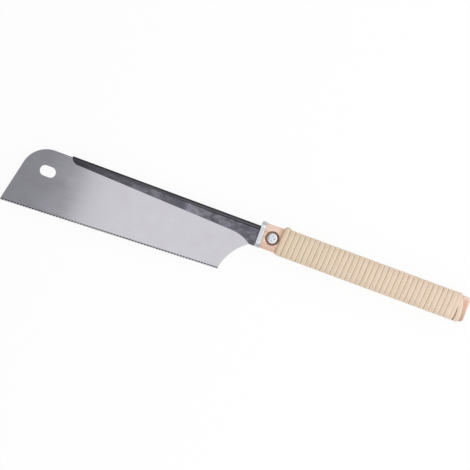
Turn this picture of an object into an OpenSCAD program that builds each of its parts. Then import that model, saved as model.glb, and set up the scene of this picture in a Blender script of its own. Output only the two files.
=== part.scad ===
// Flush cut saw: a thin pull blade with a folded steel back, clamped by one screw in the
// slotted front of a wooden handle that is wrapped with cane.
// Millimetres. The saw lies on its side: +Y points to the tip, +X to the spine side,
// +Z up through the flat of the blade, and Z = 0 is the table under the handle.
// Each piece is drawn in the handle's own axes (x to the butt from the ferrule's front face,
// y to the spine side, z through the blade) and then set in that frame by place().

/* [Blade] */
// Length of the tooth line
tooth_line = 151.2; // [140:0.1:160]
// Distance of the heel corner in front of the ferrule
heel_reach = 17.8; // [17:0.1:20]
// Depth of the tip corner below the handle axis
tip_depth = 38.4; // [36:0.1:40]
// Depth of the heel corner below the handle axis
heel_depth = 31.6; // [29.5:0.1:32.5]
// Height of the blade's back edge above the handle axis
back_height = 4.7; // [4.4:0.1:5]
// Thickness of the blade
blade_t = 0.3; // [0.25:0.05:0.5]
// Lean of the front edge from square to the handle axis, in degrees
front_lean = 12.6; // [8:0.1:14]
// Radius of the rounded top front corner
corner_r = 17.8; // [14:0.1:20]
// Radius of the hollow edge behind the heel
heel_r = 34; // [28:0.1:40]
// Distance from one tooth to the next
tooth_pitch = 1.05; // [1:0.05:2]
// Depth of a tooth
tooth_depth = 0.8; // [0.5:0.05:1.2]
// Width of the hanging hole
hang_w = 7; // [6:0.1:8.5]
// Length of the hanging hole, end to end
hang_l = 10.8; // [9:0.1:12]
// Distance of the hanging hole's middle behind the tip corner
hang_back = 23.8; // [20:0.1:26]
// Depth of the hanging hole's middle below the handle axis
hang_drop = 9.9; // [8:0.1:13]

/* [Folded spine] */
// Length of the spine in front of the ferrule
spine_len = 132.9; // [124:0.1:136]
// Height of the spine at its front end
spine_h_front = 4.4; // [3.8:0.1:5]
// Height that the spine's lower edge would have at the ferrule
spine_h_heel = 10.15; // [9:0.05:11]
// Length of the rounded nose at the spine's front end
nose_l = 5.5; // [4:0.1:8]
// Thickness of the spine's sheet
sheet_t = 0.7; // [0.6:0.05:1]
// Swell of the rounded fold past the cheeks at the ferrule, each side
fold_swell = 0.6; // [0.2:0.02:0.7]
// Swell of the rounded fold past the cheeks at the front end, each side
fold_swell_front = 0.06; // [0.04:0.02:0.2]
// Depth of the plate's lower corner below the handle axis
plate_drop = 8.8; // [8.4:0.1:8.9]
// Distance of the plate's lower corner in front of the ferrule
plate_reach = 3.6; // [3:0.1:4.5]
// Radius of the flare from the spine down to the plate's lower corner
flare_r = 25.6; // [20:0.1:32]
// Length of the tang inside the handle
tang_len = 40; // [30:1:50]
// Depth of the tang's lower edge below the handle axis
tang_drop = 6.2; // [5.5:0.1:6.6]

/* [Handle] */
// Length of the handle with its ferrule
handle_len = 146.3; // [135:0.1:160]
// Height of the wooden core, across the spine side
handle_h = 17.2; // [16.8:0.1:18]
// Thickness of the wooden core, through the flat of the blade
handle_t = 14; // [13.6:0.1:15]
// Radius of the core's long edges
handle_r = 5; // [4.6:0.1:6]
// Chamfer round the butt
butt_chamfer = 1.5; // [0.5:0.1:2]
// Length of the ferrule
ferrule_len = 3.1; // [2.5:0.1:4]
// Wall of the ferrule
ferrule_wall = 0.8; // [0.6:0.05:1]
// Step by which the ferrule stands proud of the core
ferrule_proud = 0.4; // [0.1:0.05:0.45]
// Setback of the core's front end inside the ferrule
front_setback = 0.3; // [0.1:0.1:0.8]

/* [Cane wrap] */
// Distance of the wrap's first edge behind the ferrule's front face
wrap_start = 14.7; // [14.5:0.1:20]
// Length of bare core left at the butt
wrap_end_bare = 2.4; // [2.1:0.1:5]
// Full turns of cane round the core
wrap_turns = 24; // [16:1:24]
// Gap between neighbouring turns
cane_gap = 0.5; // [0.45:0.05:0.8]
// Thickness of the cane
cane_t = 1; // [1:0.05:1.4]
// Depth of the flat worn on the side that lies on the table
rest_flat = 0.5; // [0.4:0.05:0.5]

/* [Clamp screw] */
// Distance of the screw's axis behind the ferrule's front face
screw_at = 9.6; // [8.6:0.01:9.7]
// Diameter of the screw's shank
screw_d = 4; // [3.5:0.1:4]
// Length of the screw under its head
screw_l = 10; // [9:0.1:10.4]
// Diameter of the pan head
head_d = 7.4; // [6.8:0.1:8]
// Height of the pan head
head_h = 2.6; // [2.2:0.1:2.8]
// Diameter of the washer
washer_d = 8.9; // [8.4:0.1:9.1]
// Thickness of the washer
washer_t = 0.8; // [0.5:0.1:0.9]
// Diameter of the counterbore for the head
counterbore_d = 9.5; // [9.2:0.1:10]
// Depth of the counterbore
counterbore_l = 3.7; // [3.4:0.1:4]
// Width of the hexagon nut across its flats
nut_w = 7; // [6.5:0.1:7.4]
// Thickness of the nut
nut_t = 3.2; // [2.6:0.1:3.3]
// Depth of the nut below the core's lower face
nut_setback = 0.4; // [0.2:0.1:0.6]

/* [Fits] */
// Clearance between the blade and the folded sheet, each side
fold_fit = 0.02; // [0.02:0.01:0.05]
// Clearance between the tang and its kerf, each side
kerf_fit = 0.15; // [0.1:0.01:0.25]
// Clearance round the screw's shank in the wood and in the tang, each side
hole_fit = 0.2; // [0.15:0.01:0.25]
// Running clearance of the screw in the nut, each side
thread_fit = 0.05; // [0.02:0.01:0.08]
// Clearance between faces that seat on each other
seat_fit = 0.05; // [0.02:0.01:0.1]
// Clearance between the cane and the core
wrap_fit = 0.1; // [0.08:0.01:0.15]
// Clearance round the nut and inside the ferrule, each side
press_fit = 0.05; // [0.03:0.01:0.1]

/* [Hidden] */
$fn = 64;
over = 1; // how far a cut runs past the face that it opens
arc_steps = 14; // straight steps in each arc of an outline
far = 60; // half size of a block that is cut away

// Tooth line and blade outline
tip_x = -heel_reach - sqrt(pow(tooth_line, 2) - pow(tip_depth - heel_depth, 2));
tip = [tip_x, -tip_depth];
heel = [-heel_reach, -heel_depth];
tooth_dir = (heel - tip) / tooth_line;
tooth_up = [-tooth_dir.y, tooth_dir.x];
teeth = round(tooth_line / tooth_pitch);
pitch = tooth_line / teeth;
rake_run = 0.3; // part of the pitch taken by the steep face, which looks to the handle
plate_corner = [-plate_reach, -plate_drop];
plate_inset = 0.2; // how far the blade's tang stays inside the folded sheet
hang = [tip_x + hang_back, -hang_drop];

// Folded spine
spine_top = back_height + sheet_t + fold_fit;
cheek_half = blade_t / 2 + fold_fit + sheet_t;
fold_r = cheek_half + fold_swell;
fold_r_front = cheek_half + fold_swell_front;
tang_step = 0.1; // how much thinner the fold is inside the handle, each side
tang_fold_r = fold_r - tang_step;
edge_front = [-spine_len, spine_top - spine_h_front];
edge_heel = [0, spine_top - spine_h_heel];
edge_dir = (edge_heel - edge_front) / norm(edge_heel - edge_front);
edge_down = [edge_dir.y, -edge_dir.x];
flare_drop = (plate_corner - edge_front) * edge_down;
flare_run = sqrt(2 * flare_r * flare_drop - pow(flare_drop, 2));
flare_mid = plate_corner + edge_down * (flare_r - flare_drop) - edge_dir * flare_run;
slot_half = screw_d / 2 + hole_fit;
tang_chamfer = 1.2;

// Handle
kerf_half = cheek_half + kerf_fit;
groove_r = tang_fold_r + kerf_fit;
kerf_spare = 3; // length of kerf left free behind the tang
kerf_len = tang_len + kerf_spare;
ferrule_h = handle_h + 2 * ferrule_proud;
ferrule_t = handle_t + 2 * ferrule_proud;
tenon_cut = ferrule_wall - ferrule_proud + press_fit;

// Clamp screw, from the counterbore's floor up and from the nut's seat down
washer_z = handle_t / 2 - counterbore_l + seat_fit;
head_z = washer_z + washer_t + seat_fit;
dome_h = 1; // rise of the pan head's dome
dome_r = (pow(head_d / 2, 2) + pow(dome_h, 2)) / (2 * dome_h);
cross_l = 4.2; // length, width and depth of the cross recess
cross_w = 1;
cross_depth = 1.5;
nut_z = -handle_t / 2 + nut_setback;
nut_corner = nut_w / 2 / cos(30);

// Cane wrap: rings round a rectangle with round corners, six at each corner
ring_count = 24;
corner_rings = 6;
wrap_y = handle_h / 2 + wrap_fit;
wrap_z = handle_t / 2 + wrap_fit;
wrap_r = handle_r + wrap_fit;
flat_y = 2 * (wrap_y - wrap_r);
flat_z = 2 * (wrap_z - wrap_r);
corner_arc = PI / 2 * wrap_r;
loop_len = 2 * flat_y + 2 * flat_z + 4 * corner_arc;
wrap_len = handle_len - wrap_start - wrap_end_bare;
wrap_pitch = (wrap_len + cane_gap) / (wrap_turns + 1 + flat_y / loop_len);
cane_w = wrap_pitch - cane_gap;
last_ring = wrap_turns * ring_count + 1;
// Cross-section of the cane, as parts of its width and its thickness: flat inside, domed outside
cane_section = [[-0.5, 0], [0.5, 0], [0.5, 0.55], [0.22, 1], [-0.22, 1], [-0.5, 0.55]];
sides = len(cane_section);
rest_z = -(wrap_z + cane_t - rest_flat);

// Middle of the whole saw in the handle's axes
mid_x = (tip_x + handle_len) / 2;
mid_y = (wrap_y + cane_t - tip_depth) / 2;

function turned(a) = [cos(a), sin(a)];
function arc(c, r, a0, a1) = [for (i = [0:arc_steps])
    c + r * turned(a0 + (a1 - a0) * i / arc_steps)];
function angle_of(v) = atan2(v.y, v.x);
function edge_y(x) = edge_front.y + (x - edge_front.x) * edge_dir.y / edge_dir.x;

// Centre of the arc of radius r from p to q that has its middle to the right of the way from p to q
function arc_mid(p, q, r) =
    let (half = (q - p) / 2, rise = sqrt(r * r - half * half))
    (p + q) / 2 + rise * [half.y, -half.x] / norm(half);

function tooth_points() = [for (i = [0:teeth - 1])
    each [
        tip + tooth_dir * pitch * i,
        tip + tooth_dir * pitch * (i + rake_run) + tooth_up * tooth_depth
    ]];

function heel_points() =
    let (c = arc_mid(heel, plate_corner, heel_r))
    arc(c, heel_r, angle_of(heel - c), angle_of(plate_corner - c));

function corner_points() =
    let (cy = back_height - corner_r)
    let (cx = tip_x + (corner_r + (cy + tip_depth) * sin(front_lean)) / cos(front_lean))
    arc([cx, cy], corner_r, 90, 180 - front_lean);

function nose_points() =
    let (c = [nose_l - spine_len, spine_top], depth = spine_top - edge_y(nose_l - spine_len))
    [for (p = arc([0, 0], 1, 180, 270)) c + [nose_l * p.x, depth * p.y]];

function flare_points() = arc(flare_mid, flare_r, angle_of(-edge_down),
    angle_of(plate_corner - flare_mid));

function tang_points(inset) = [
    [-seat_fit, inset - plate_drop],
    [-seat_fit, inset - tang_drop],
    [tang_len - inset - tang_chamfer, inset - tang_drop],
    [tang_len - inset, inset - tang_drop + tang_chamfer]
];

// Corner number of a ring: 0 to 3 from the underside round the tooth side to the top
function ring_corner(k) = floor(((k + ring_count - 1) % ring_count) / corner_rings);
function ring_step(k) = ((k + ring_count - 1) % ring_count) % corner_rings;
function ring_angle(k) = 270 - 90 * ring_corner(k) - 90 * ring_step(k) / (corner_rings - 1);
function ring_side(k) = turned(225 - 90 * ring_corner(k)) * sqrt(2);
function flats_before(q) = flat_y + ceil(q / 2) * flat_z + floor(q / 2) * flat_y;
function ring_way(k) = flats_before(ring_corner(k))
    + corner_arc * (ring_corner(k) + ring_step(k) / (corner_rings - 1));
function turns_at(k) = k == 0 ? 0 : floor((k - 1) / ring_count) + ring_way(k) / loop_len;

function cane_ring(k) =
    let (x = wrap_start + cane_w / 2 + wrap_pitch * turns_at(k))
    let (out = turned(ring_angle(k)), side = ring_side(k))
    let (foot = [side.x * flat_y / 2, side.y * flat_z / 2] + wrap_r * out)
    [for (p = cane_section)
        let (at = foot + p[1] * cane_t * out)
        [x + p[0] * cane_w, at.x, max(at.y, rest_z)]];

cane_rings = [for (k = [0:last_ring]) cane_ring(k)];

// Least distance between the points of the cane on one turn and those on the next
least_gap = min([for (k = [0:last_ring - ring_count - 1])
    for (near = [-1:1])
        for (a = cane_rings[k])
            for (b = cane_rings[min(k + ring_count + near, last_ring)])
                norm(a - b)]);
echo(least_gap_of_cane_to_itself_mm = least_gap);

// Sets a piece from the handle's axes into the saw's own frame
module place() {
    translate([-mid_y, mid_x, -rest_z])
        rotate([0, 0, -90])
            children();
}

// Bar along x with round long edges, y height h and z thickness t
module round_bar(x0, x1, h, t, r) {
    translate([x0, 0, 0])
        rotate([90, 0, 90])
            linear_extrude(x1 - x0)
                union() {
                    square([h, t - 2 * r], center = true);
                    square([h - 2 * r, t], center = true);
                    for (sy = [-1, 1])
                        for (sz = [-1, 1])
                            translate([sy * (h / 2 - r), sz * (t / 2 - r)])
                                circle(r);
                }
}

// Slot through the tang for the screw's shank, open at the tang's end
module screw_slot() {
    translate([screw_at, 0, -far])
        cylinder(h = 2 * far, r = slot_half);
    translate([screw_at, -slot_half, -far])
        cube([tang_len, 2 * slot_half, 2 * far]);
}

// Rod that rounds the fold: thinner to the front, level along the top
module fold_rod() {
    translate([-spine_len, spine_top - fold_r_front, 0])
        rotate([0, 0, -atan((fold_r - fold_r_front) / spine_len)])
            rotate([0, 90, 0])
                cylinder(h = spine_len, r1 = fold_r_front, r2 = fold_r);
    translate([-over, spine_top - fold_r, 0])
        rotate([0, 90, 0])
            cylinder(h = tang_len + 2 * over, r = tang_fold_r);
}

// Two cheeks of sheet below the fold
module cheeks() {
    linear_extrude(2 * cheek_half, center = true)
        polygon([
            [-spine_len - over, spine_top - fold_r_front],
            [0, spine_top - fold_r],
            [tang_len + over, spine_top - fold_r],
            [tang_len + over, -far],
            [-spine_len - over, -far]
        ]);
}

module saw_plate() {
    outline = concat(tooth_points(), heel_points(), tang_points(plate_inset),
        [[tang_len - plate_inset, back_height]], corner_points());
    hole_r = hang_w / 2;
    hole_run = hang_l - hang_w;
    color("#B9B9BF")
        place()
            difference() {
                linear_extrude(blade_t, center = true)
                    polygon(outline);
                for (end = [-1, 1])
                    translate([hang.x + end * hole_run / 2, hang.y, -over])
                        cylinder(h = 2 * over, r = hole_r);
                translate([hang.x, hang.y, 0])
                    cube([hole_run, hang_w, 2 * over], center = true);
                screw_slot();
            }
}

module folded_spine() {
    clear_top = spine_top + over;
    outline = concat([[-spine_len, clear_top]], nose_points(), flare_points(), tang_points(0),
        [[tang_len, clear_top]]);
    pocket_half = blade_t / 2 + fold_fit;
    color("#3A383F")
        place()
            difference() {
                intersection() {
                    linear_extrude(4 * fold_r, center = true)
                        polygon(outline);
                    union() {
                        fold_rod();
                        cheeks();
                    }
                }
                translate([-spine_len - over, -far, -pocket_half])
                    cube([spine_len + tang_len + 2 * over, far + back_height + fold_fit, 2 * pocket_half]);
                screw_slot();
            }
}

module ferrule() {
    color("#C5CCD4")
        place()
            difference() {
                round_bar(0, ferrule_len, ferrule_h, ferrule_t, handle_r + ferrule_proud);
                round_bar(-over, ferrule_len + over, ferrule_h - 2 * ferrule_wall,
                    ferrule_t - 2 * ferrule_wall, handle_r + ferrule_proud - ferrule_wall);
            }
}

// Wedges that chamfer the four sides of the butt
module butt_wedges() {
    reach = butt_chamfer * sqrt(2);
    for (side = [-1, 1]) {
        translate([handle_len, side * handle_h / 2, 0])
            rotate([0, 0, 45])
                cube([reach, reach, 2 * far], center = true);
        translate([handle_len, 0, side * handle_t / 2])
            rotate([0, 45, 0])
                cube([reach, 2 * far, reach], center = true);
    }
}

module handle_core() {
    color("#E3B08C")
        place()
            difference() {
                union() {
                    round_bar(ferrule_len + seat_fit, handle_len, handle_h, handle_t, handle_r);
                    round_bar(front_setback, ferrule_len + over, handle_h - 2 * tenon_cut,
                        handle_t - 2 * tenon_cut, handle_r - tenon_cut);
                }
                butt_wedges();
                translate([-over, -far, -kerf_half])
                    cube([kerf_len + over, 2 * far, 2 * kerf_half]);
                translate([-over, spine_top - fold_r, 0])
                    rotate([0, 90, 0])
                        cylinder(h = kerf_len + over, r = groove_r);
                translate([screw_at, 0, -far])
                    cylinder(h = 2 * far, r = slot_half);
                translate([screw_at, 0, handle_t / 2 - counterbore_l])
                    cylinder(h = far, d = counterbore_d);
                translate([screw_at, 0, nut_z + nut_t + seat_fit - far])
                    cylinder(h = far, r = nut_corner + press_fit, $fn = 6);
            }
}

module cane_wrap() {
    rings = last_ring + 1;
    walls = [for (k = [0:rings - 2]) for (i = [0:sides - 1])
        let (a = k * sides + i, b = k * sides + (i + 1) % sides)
        each [[a, b, b + sides], [a, b + sides, a + sides]]];
    first_end = [for (i = [1:sides - 2]) [0, i + 1, i]];
    last_end = [for (i = [1:sides - 2]) [0, i, i + 1] + (rings - 1) * sides * [1, 1, 1]];
    color("#E0CBAE")
        place()
            polyhedron(points = [for (ring = cane_rings) each ring],
                faces = concat(walls, first_end, last_end));
}

module clamp_screw() {
    color("#D8DADD")
        place()
            translate([screw_at, 0, head_z])
                difference() {
                    union() {
                        intersection() {
                            cylinder(h = head_h, d = head_d);
                            translate([0, 0, head_h - dome_r])
                                sphere(dome_r);
                        }
                        translate([0, 0, -screw_l])
                            cylinder(h = screw_l + over, d = screw_d);
                    }
                    for (turn = [0, 90])
                        rotate([0, 0, turn])
                            translate([0, 0, head_h])
                                cube([cross_l, cross_w, 2 * cross_depth], center = true);
                }
}

module screw_washer() {
    color("#4A4648")
        place()
            translate([screw_at, 0, washer_z])
                difference() {
                    cylinder(h = washer_t, d = washer_d);
                    translate([0, 0, -over])
                        cylinder(h = washer_t + 2 * over, r = slot_half);
                }
}

module clamp_nut() {
    color("#C9CBCE")
        place()
            translate([screw_at, 0, nut_z])
                difference() {
                    cylinder(h = nut_t, r = nut_corner, $fn = 6);
                    translate([0, 0, -over])
                        cylinder(h = nut_t + 2 * over, r = screw_d / 2 + thread_fit);
                }
}

saw_plate();
folded_spine();
ferrule();
handle_core();
cane_wrap();
clamp_screw();
screw_washer();
clamp_nut();
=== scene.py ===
# %% [markdown]
# # A pull saw for flush cuts
# The saw is a thin plate of spring steel with a folded steel spine, a wooden handle wound with
# split cane, and one screw that clamps the blade's tang in the handle. Its sizes and its moving
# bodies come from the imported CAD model. This lesson dresses that model: finer meshes, the real
# finishes, soft light, and the photograph's view.

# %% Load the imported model
import math

import bmesh
import bpy
from mathutils import Matrix, Vector


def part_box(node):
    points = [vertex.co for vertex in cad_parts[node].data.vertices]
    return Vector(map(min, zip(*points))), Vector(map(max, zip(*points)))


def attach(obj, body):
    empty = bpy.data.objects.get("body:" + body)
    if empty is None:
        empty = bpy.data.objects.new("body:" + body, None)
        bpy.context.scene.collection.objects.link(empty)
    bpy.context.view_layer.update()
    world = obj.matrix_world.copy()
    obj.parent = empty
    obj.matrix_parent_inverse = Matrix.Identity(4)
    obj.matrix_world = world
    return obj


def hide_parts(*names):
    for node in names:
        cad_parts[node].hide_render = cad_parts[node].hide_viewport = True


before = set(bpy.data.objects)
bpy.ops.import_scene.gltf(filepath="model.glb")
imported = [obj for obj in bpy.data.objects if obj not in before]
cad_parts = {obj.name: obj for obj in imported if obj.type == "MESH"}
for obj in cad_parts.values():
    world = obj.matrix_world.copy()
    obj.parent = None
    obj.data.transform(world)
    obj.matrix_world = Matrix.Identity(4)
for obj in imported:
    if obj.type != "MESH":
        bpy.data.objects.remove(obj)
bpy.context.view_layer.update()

# %% [markdown]
# ## The handle's own axes
# Everything on this saw is easiest to measure from the ferrule: x runs from the ferrule's front
# face to the butt, y to the spine's side, and z up through the screw's head. One matrix turns such
# millimetres into the frame's metres, so a mesh is made in plain numbers and set in place once.

# %% From handle millimetres to frame metres
MM = 0.001
ferrule_low, ferrule_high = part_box("ferrule")
HANDLE_AXES = Matrix((
    (0, MM, 0, (ferrule_low.x + ferrule_high.x) / 2),
    (-MM, 0, 0, ferrule_high.y),
    (0, 0, MM, (ferrule_low.z + ferrule_high.z) / 2),
    (0, 0, 0, 1),
))
TABLE_Z = -HANDLE_AXES[2][3] / MM  # the table top in the handle's millimetres
print("Ferrule's front face in the frame:", [round(v, 5) for v in HANDLE_AXES.translation])

# %% [markdown]
# ## Camera
# The photograph looks straight down on the saw, which lies at 20 degrees across a square picture
# 311 mm wide. An orthographic camera would show no depth at all, so a long lens is used: it keeps
# the handle, which is nearer to the camera than the blade, from looking larger than it is.

# %% Camera over the saw
PHOTO_WIDTH = 311.0 * MM
PHOTO_TURN = math.radians(20.3)
LENS = 300
VIEW_CENTRE = HANDLE_AXES @ Vector((-14.3, -6.4, 0))
scene = bpy.context.scene
scene.view_settings.view_transform = "Standard"
camera = bpy.data.cameras.new("photo_camera")
camera.lens = LENS
CAMERA_HEIGHT = PHOTO_WIDTH * LENS / camera.sensor_width
camera_object = bpy.data.objects.new("photo_camera", camera)
camera_object.location = VIEW_CENTRE + Vector((0, 0, CAMERA_HEIGHT))
camera_object.rotation_euler = (0, 0, PHOTO_TURN - math.pi / 2)
scene.collection.objects.link(camera_object)
scene.camera = camera_object
print("Camera", round(CAMERA_HEIGHT, 3), "m above the blade")

# %% [markdown]
# ## Tools for finishes
# A finish is a node tree. One function turns an sRGB hex value to the linear colour that a shader
# takes, and one adds a node with its settings and links. Four short ones call it for the commonest
# nodes, and the last one starts a material with its shader and with the place on the saw in the
# handle's millimetres, so that every pattern has a real size.

# %% Colour and node helpers
def linear(hex_colour):
    """An sRGB hex value as a linear colour."""
    parts = [int(hex_colour[i:i + 2], 16) / 255 for i in (1, 3, 5)]
    return [c / 12.92 if c <= 0.04045 else ((c + 0.055) / 1.055) ** 2.4 for c in parts] + [1]


def add_node(tree, kind, inputs=(), out=0, **settings):
    """Adds a node, sets or links its inputs, and gives one of its outputs."""
    node = tree.nodes.new(kind)
    for name, value in settings.items():
        setattr(node, name, value)
    for name, value in dict(inputs).items():
        if isinstance(value, bpy.types.NodeSocket):
            tree.links.new(value, node.inputs[name])
        else:
            node.inputs[name].default_value = value
    return node.outputs[out] if len(node.outputs) else node


def ramp(tree, value, start, end, low, high, smooth=False):
    """Goes from low to high while a value goes from start to end."""
    kind = "SMOOTHSTEP" if smooth else "LINEAR"
    return add_node(tree, "ShaderNodeMapRange", {
        0: value, 1: start, 2: end, 3: low, 4: high}, interpolation_type=kind)


def calculate(tree, operation, *values, **settings):
    """One sum with up to three values."""
    return add_node(tree, "ShaderNodeMath", dict(enumerate(values)), operation=operation, **settings)


def blend(tree, share, colour, other):
    """A share of the other colour in a colour. Each is a socket or an sRGB hex value."""
    pair = [linear(c) if isinstance(c, str) else c for c in (colour, other)]
    return add_node(tree, "ShaderNodeMix", {0: share, 6: pair[0], 7: pair[1]}, out=2, data_type="RGBA")


def distance_along(tree, place, way):
    """How far a place lies along a direction."""
    return add_node(tree, "ShaderNodeVectorMath", {0: place, 1: way}, out="Value", operation="DOT_PRODUCT")


print("White is", linear("#FFFFFF"), "and mid grey", [round(c, 3) for c in linear("#808080")])

# %% How a finish starts
def start_finish(name, metallic, roughness):
    """A new material, its tree, its shader, and the place on the saw in the handle's millimetres."""
    material = bpy.data.materials.new(name)
    material.use_nodes = True
    tree = material.node_tree
    shader = tree.nodes["Principled BSDF"]
    shader.inputs["Metallic"].default_value = metallic
    shader.inputs["Roughness"].default_value = roughness
    place = add_node(tree, "ShaderNodeMapping", {
        "Vector": add_node(tree, "ShaderNodeTexCoord", out="Object"), "Scale": (1 / MM, 1 / MM, 1 / MM),
        "Rotation": (0, 0, math.pi / 2), "Location": HANDLE_AXES.inverted().translation})
    return material, tree, shader, place


print("Patterns are measured from the ferrule, in units of", MM, "m")

# %% [markdown]
# ## The blade's outline
# The plate is wider at the tip than at the heel, with a round front corner on the spine's side and
# a hollow curve at the heel. The CAD mesh could be used, but its teeth are plain notches, so the
# outline is drawn again without them. These are the sizes of the CAD source, in millimetres.

# %% Sizes of the plate
TOOTH_LINE, TEETH, TOOTH_DEPTH = 151.2, 144, 0.8
RAKE = 0.3  # the part of a tooth's pitch that its steep face takes; it looks to the handle
PLATE_T = 0.3
HEEL, TIP_Y = Vector((-17.8, -31.6)), -38.4
TIP = Vector((HEEL.x - math.sqrt(TOOTH_LINE**2 - (HEEL.y - TIP_Y)**2), TIP_Y))
TOOTH_WAY = (HEEL - TIP) / TOOTH_LINE
TOOTH_UP = Vector((-TOOTH_WAY.y, TOOTH_WAY.x))
PITCH = TOOTH_LINE / TEETH


def arc(middle, radius, start, end, steps=24):
    """Points on an arc, with its angles in degrees."""
    angles = [math.radians(start + (end - start) * i / steps) for i in range(steps + 1)]
    return [middle + radius * Vector((math.cos(a), math.sin(a))) for a in angles]


def root(i):
    """The bottom of the gullet behind tooth i."""
    return TIP + TOOTH_WAY * PITCH * (i + RAKE) + TOOTH_UP * TOOTH_DEPTH


print("Tooth pitch", PITCH, "mm; tip at", [round(v, 2) for v in TIP])

# %% Loops of the plate: the outside with the tang's slot, and the hanging hole
BACK_Y, TANG_END, SLOT_R, SCREW_X = 4.7, 39.8, 2.2, 9.6
HEEL_R, CORNER_R, FRONT_LEAN = 34.0, 17.8, 12.6
MOUTH_X, TANG_LOW, TANG_CHAMFER = -0.05, -6.0, 1.2
heel_corner = Vector((-3.6, -8.8))
half_chord = (heel_corner - HEEL) / 2
to_middle = Vector((half_chord.y, -half_chord.x)).normalized()
heel_middle = (HEEL + heel_corner) / 2 + math.sqrt(HEEL_R**2 - half_chord.length_squared) * to_middle
heel_spokes = [p - heel_middle for p in (HEEL, heel_corner)]
heel_angles = [math.degrees(math.atan2(spoke.y, spoke.x)) for spoke in heel_spokes]
lean = math.radians(FRONT_LEAN)
corner_y = BACK_Y - CORNER_R
corner_x = TIP.x + (CORNER_R + (corner_y - TIP.y) * math.sin(lean)) / math.cos(lean)
outside = [TIP, root(0), root(TEETH - 1)]
outside += arc(heel_middle, HEEL_R, *heel_angles)
outside += [Vector((MOUTH_X, heel_corner.y + 0.2)), Vector((MOUTH_X, TANG_LOW))]
outside += [Vector((TANG_END - TANG_CHAMFER, TANG_LOW)), Vector((TANG_END, TANG_LOW + TANG_CHAMFER))]
outside += [Vector((TANG_END, -SLOT_R))] + arc(Vector((SCREW_X, 0)), SLOT_R, 270, 90, 16)
outside += [Vector((TANG_END, SLOT_R)), Vector((TANG_END, BACK_Y))]
outside += arc(Vector((corner_x, corner_y)), CORNER_R, 90, 180 - FRONT_LEAN, 32)
hole_at, hole_r, half_run = Vector((TIP.x + 23.8, -9.9)), 3.5, Vector((1.9, 0))
hole = arc(hole_at + half_run, hole_r, -90, 90) + arc(hole_at - half_run, hole_r, 90, 270)
print("Outline of", len(outside), "points, hole of", len(hole))

# %% [markdown]
# ## Saw steel
# The plate is cold-rolled spring steel, ground and polished, so it mirrors the light softly with
# faint grinding lines along its length. Its teeth are hardened with a short pulse of current,
# which leaves a blue-black band along the tooth line. An image could carry these marks, but noise
# and ramps in millimetres need no unwrapping and keep their size, so the finishes are made of them.

# %% Polished saw steel with a hardened tooth line
saw_steel, tree, shader, place = start_finish("polished_saw_steel", 1, 0.17)
# Grinding lines are about 0.1 mm apart; they are drawn 0.6 mm apart and 50 mm long to show.
lined = add_node(tree, "ShaderNodeMapping", {"Vector": place, "Scale": (1 / 50, 1 / 0.6, 0.02)})
lines = add_node(tree, "ShaderNodeTexNoise", {"Vector": lined, "Scale": 1, "Detail": 4})
# Finger marks and oil leave clouds about 12 mm across.
clouds = add_node(tree, "ShaderNodeTexNoise", {"Vector": place, "Scale": 1 / 12, "Detail": 5})
mottle = calculate(tree, "ADD", lines, clouds)
tone = ramp(tree, mottle, 0.6, 1.4, 0, 1)
steel = blend(tree, tone, "#CDCACC", "#D7D4DB")
rough = ramp(tree, mottle, 0.6, 1.4, 0.14, 0.2)
tree.links.new(rough, shader.inputs["Roughness"])
bump = add_node(tree, "ShaderNodeBump", {"Strength": 0.06, "Distance": 0.01 * MM, "Height": lines})
tree.links.new(bump, shader.inputs["Normal"])
print(saw_steel.name, "has", len(tree.nodes), "nodes so far")

# %% The hardened band, the bright flanks that the file has cut through it, and painted light and shade on the teeth by turns
BAND_FULL, BAND_END = 0.95, 1.75  # the band is full up to the first height over the points, in mm
FLANK_DARK = 0.35  # how much of the dark still shows on a filed flank
tooth_level = TOOTH_UP.dot(TIP)
tip_way = TOOTH_WAY.dot(TIP)
height = distance_along(tree, place, TOOTH_UP.to_3d())
band = ramp(tree, height, tooth_level + BAND_FULL, tooth_level + BAND_END, 1, 0, smooth=True)
# For 40 mm from the tip, every second tooth and the steel just above it are painted bright and the teeth
# between them dark, as painted light and shade on teeth filed on alternate sides. Past 70 mm the bright
# teeth keep half of the dark.
way = distance_along(tree, place, TOOTH_WAY.to_3d())
phase = calculate(tree, "MULTIPLY_ADD", way, math.pi / PITCH, -tip_way * math.pi / PITCH)
wave = calculate(tree, "COSINE", phase)
least = ramp(tree, way, tip_way + 40, tip_way + 70, 0, 0.5)
most = ramp(tree, way, tip_way + 40, tip_way + 70, 1, 0.95)
painted_tooth_shade = ramp(tree, wave, -0.95, 0.2, least, most, smooth=True)
skin = calculate(tree, "MULTIPLY", band, painted_tooth_shade)
filed = add_node(tree, "ShaderNodeAttribute", {}, out="Fac", attribute_name="filed")
flank = calculate(tree, "MULTIPLY", skin, FLANK_DARK)
blue = ramp(tree, filed, 0, 1, skin, flank)
colour = blend(tree, blue, steel, "#151416")
tree.links.new(colour, shader.inputs["Base Color"])
print("Tooth line", round(tooth_level, 2), "mm along its own normal")

# %% [markdown]
# ## The plate
# A flat shape with a hole is quickest as a filled 2D curve: it takes a thickness and a small edge
# break, and becomes a mesh in one step. The curve is drawn in millimetres and then set in place.

# %% Steps that every piece shares
def add_object(name, data, finish):
    """A new object at the origin that wears one finish."""
    made = bpy.data.objects.new(name, data)
    scene.collection.objects.link(made)
    made.data.materials.clear()
    made.data.materials.append(finish)
    return made


def make_plain(piece):
    """Turns a piece into a plain mesh: its modifiers or its curve are worked out once and dropped."""
    depsgraph = bpy.context.evaluated_depsgraph_get()
    mesh = bpy.data.meshes.new_from_object(piece.evaluated_get(depsgraph), depsgraph=depsgraph)
    mesh.name = piece.name
    if piece.type != "MESH":
        name, finish = piece.name, piece.data.materials[0]
        bpy.data.objects.remove(piece)
        return add_object(name, mesh, finish)
    piece.modifiers.clear()
    piece.data = mesh
    return piece


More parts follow.
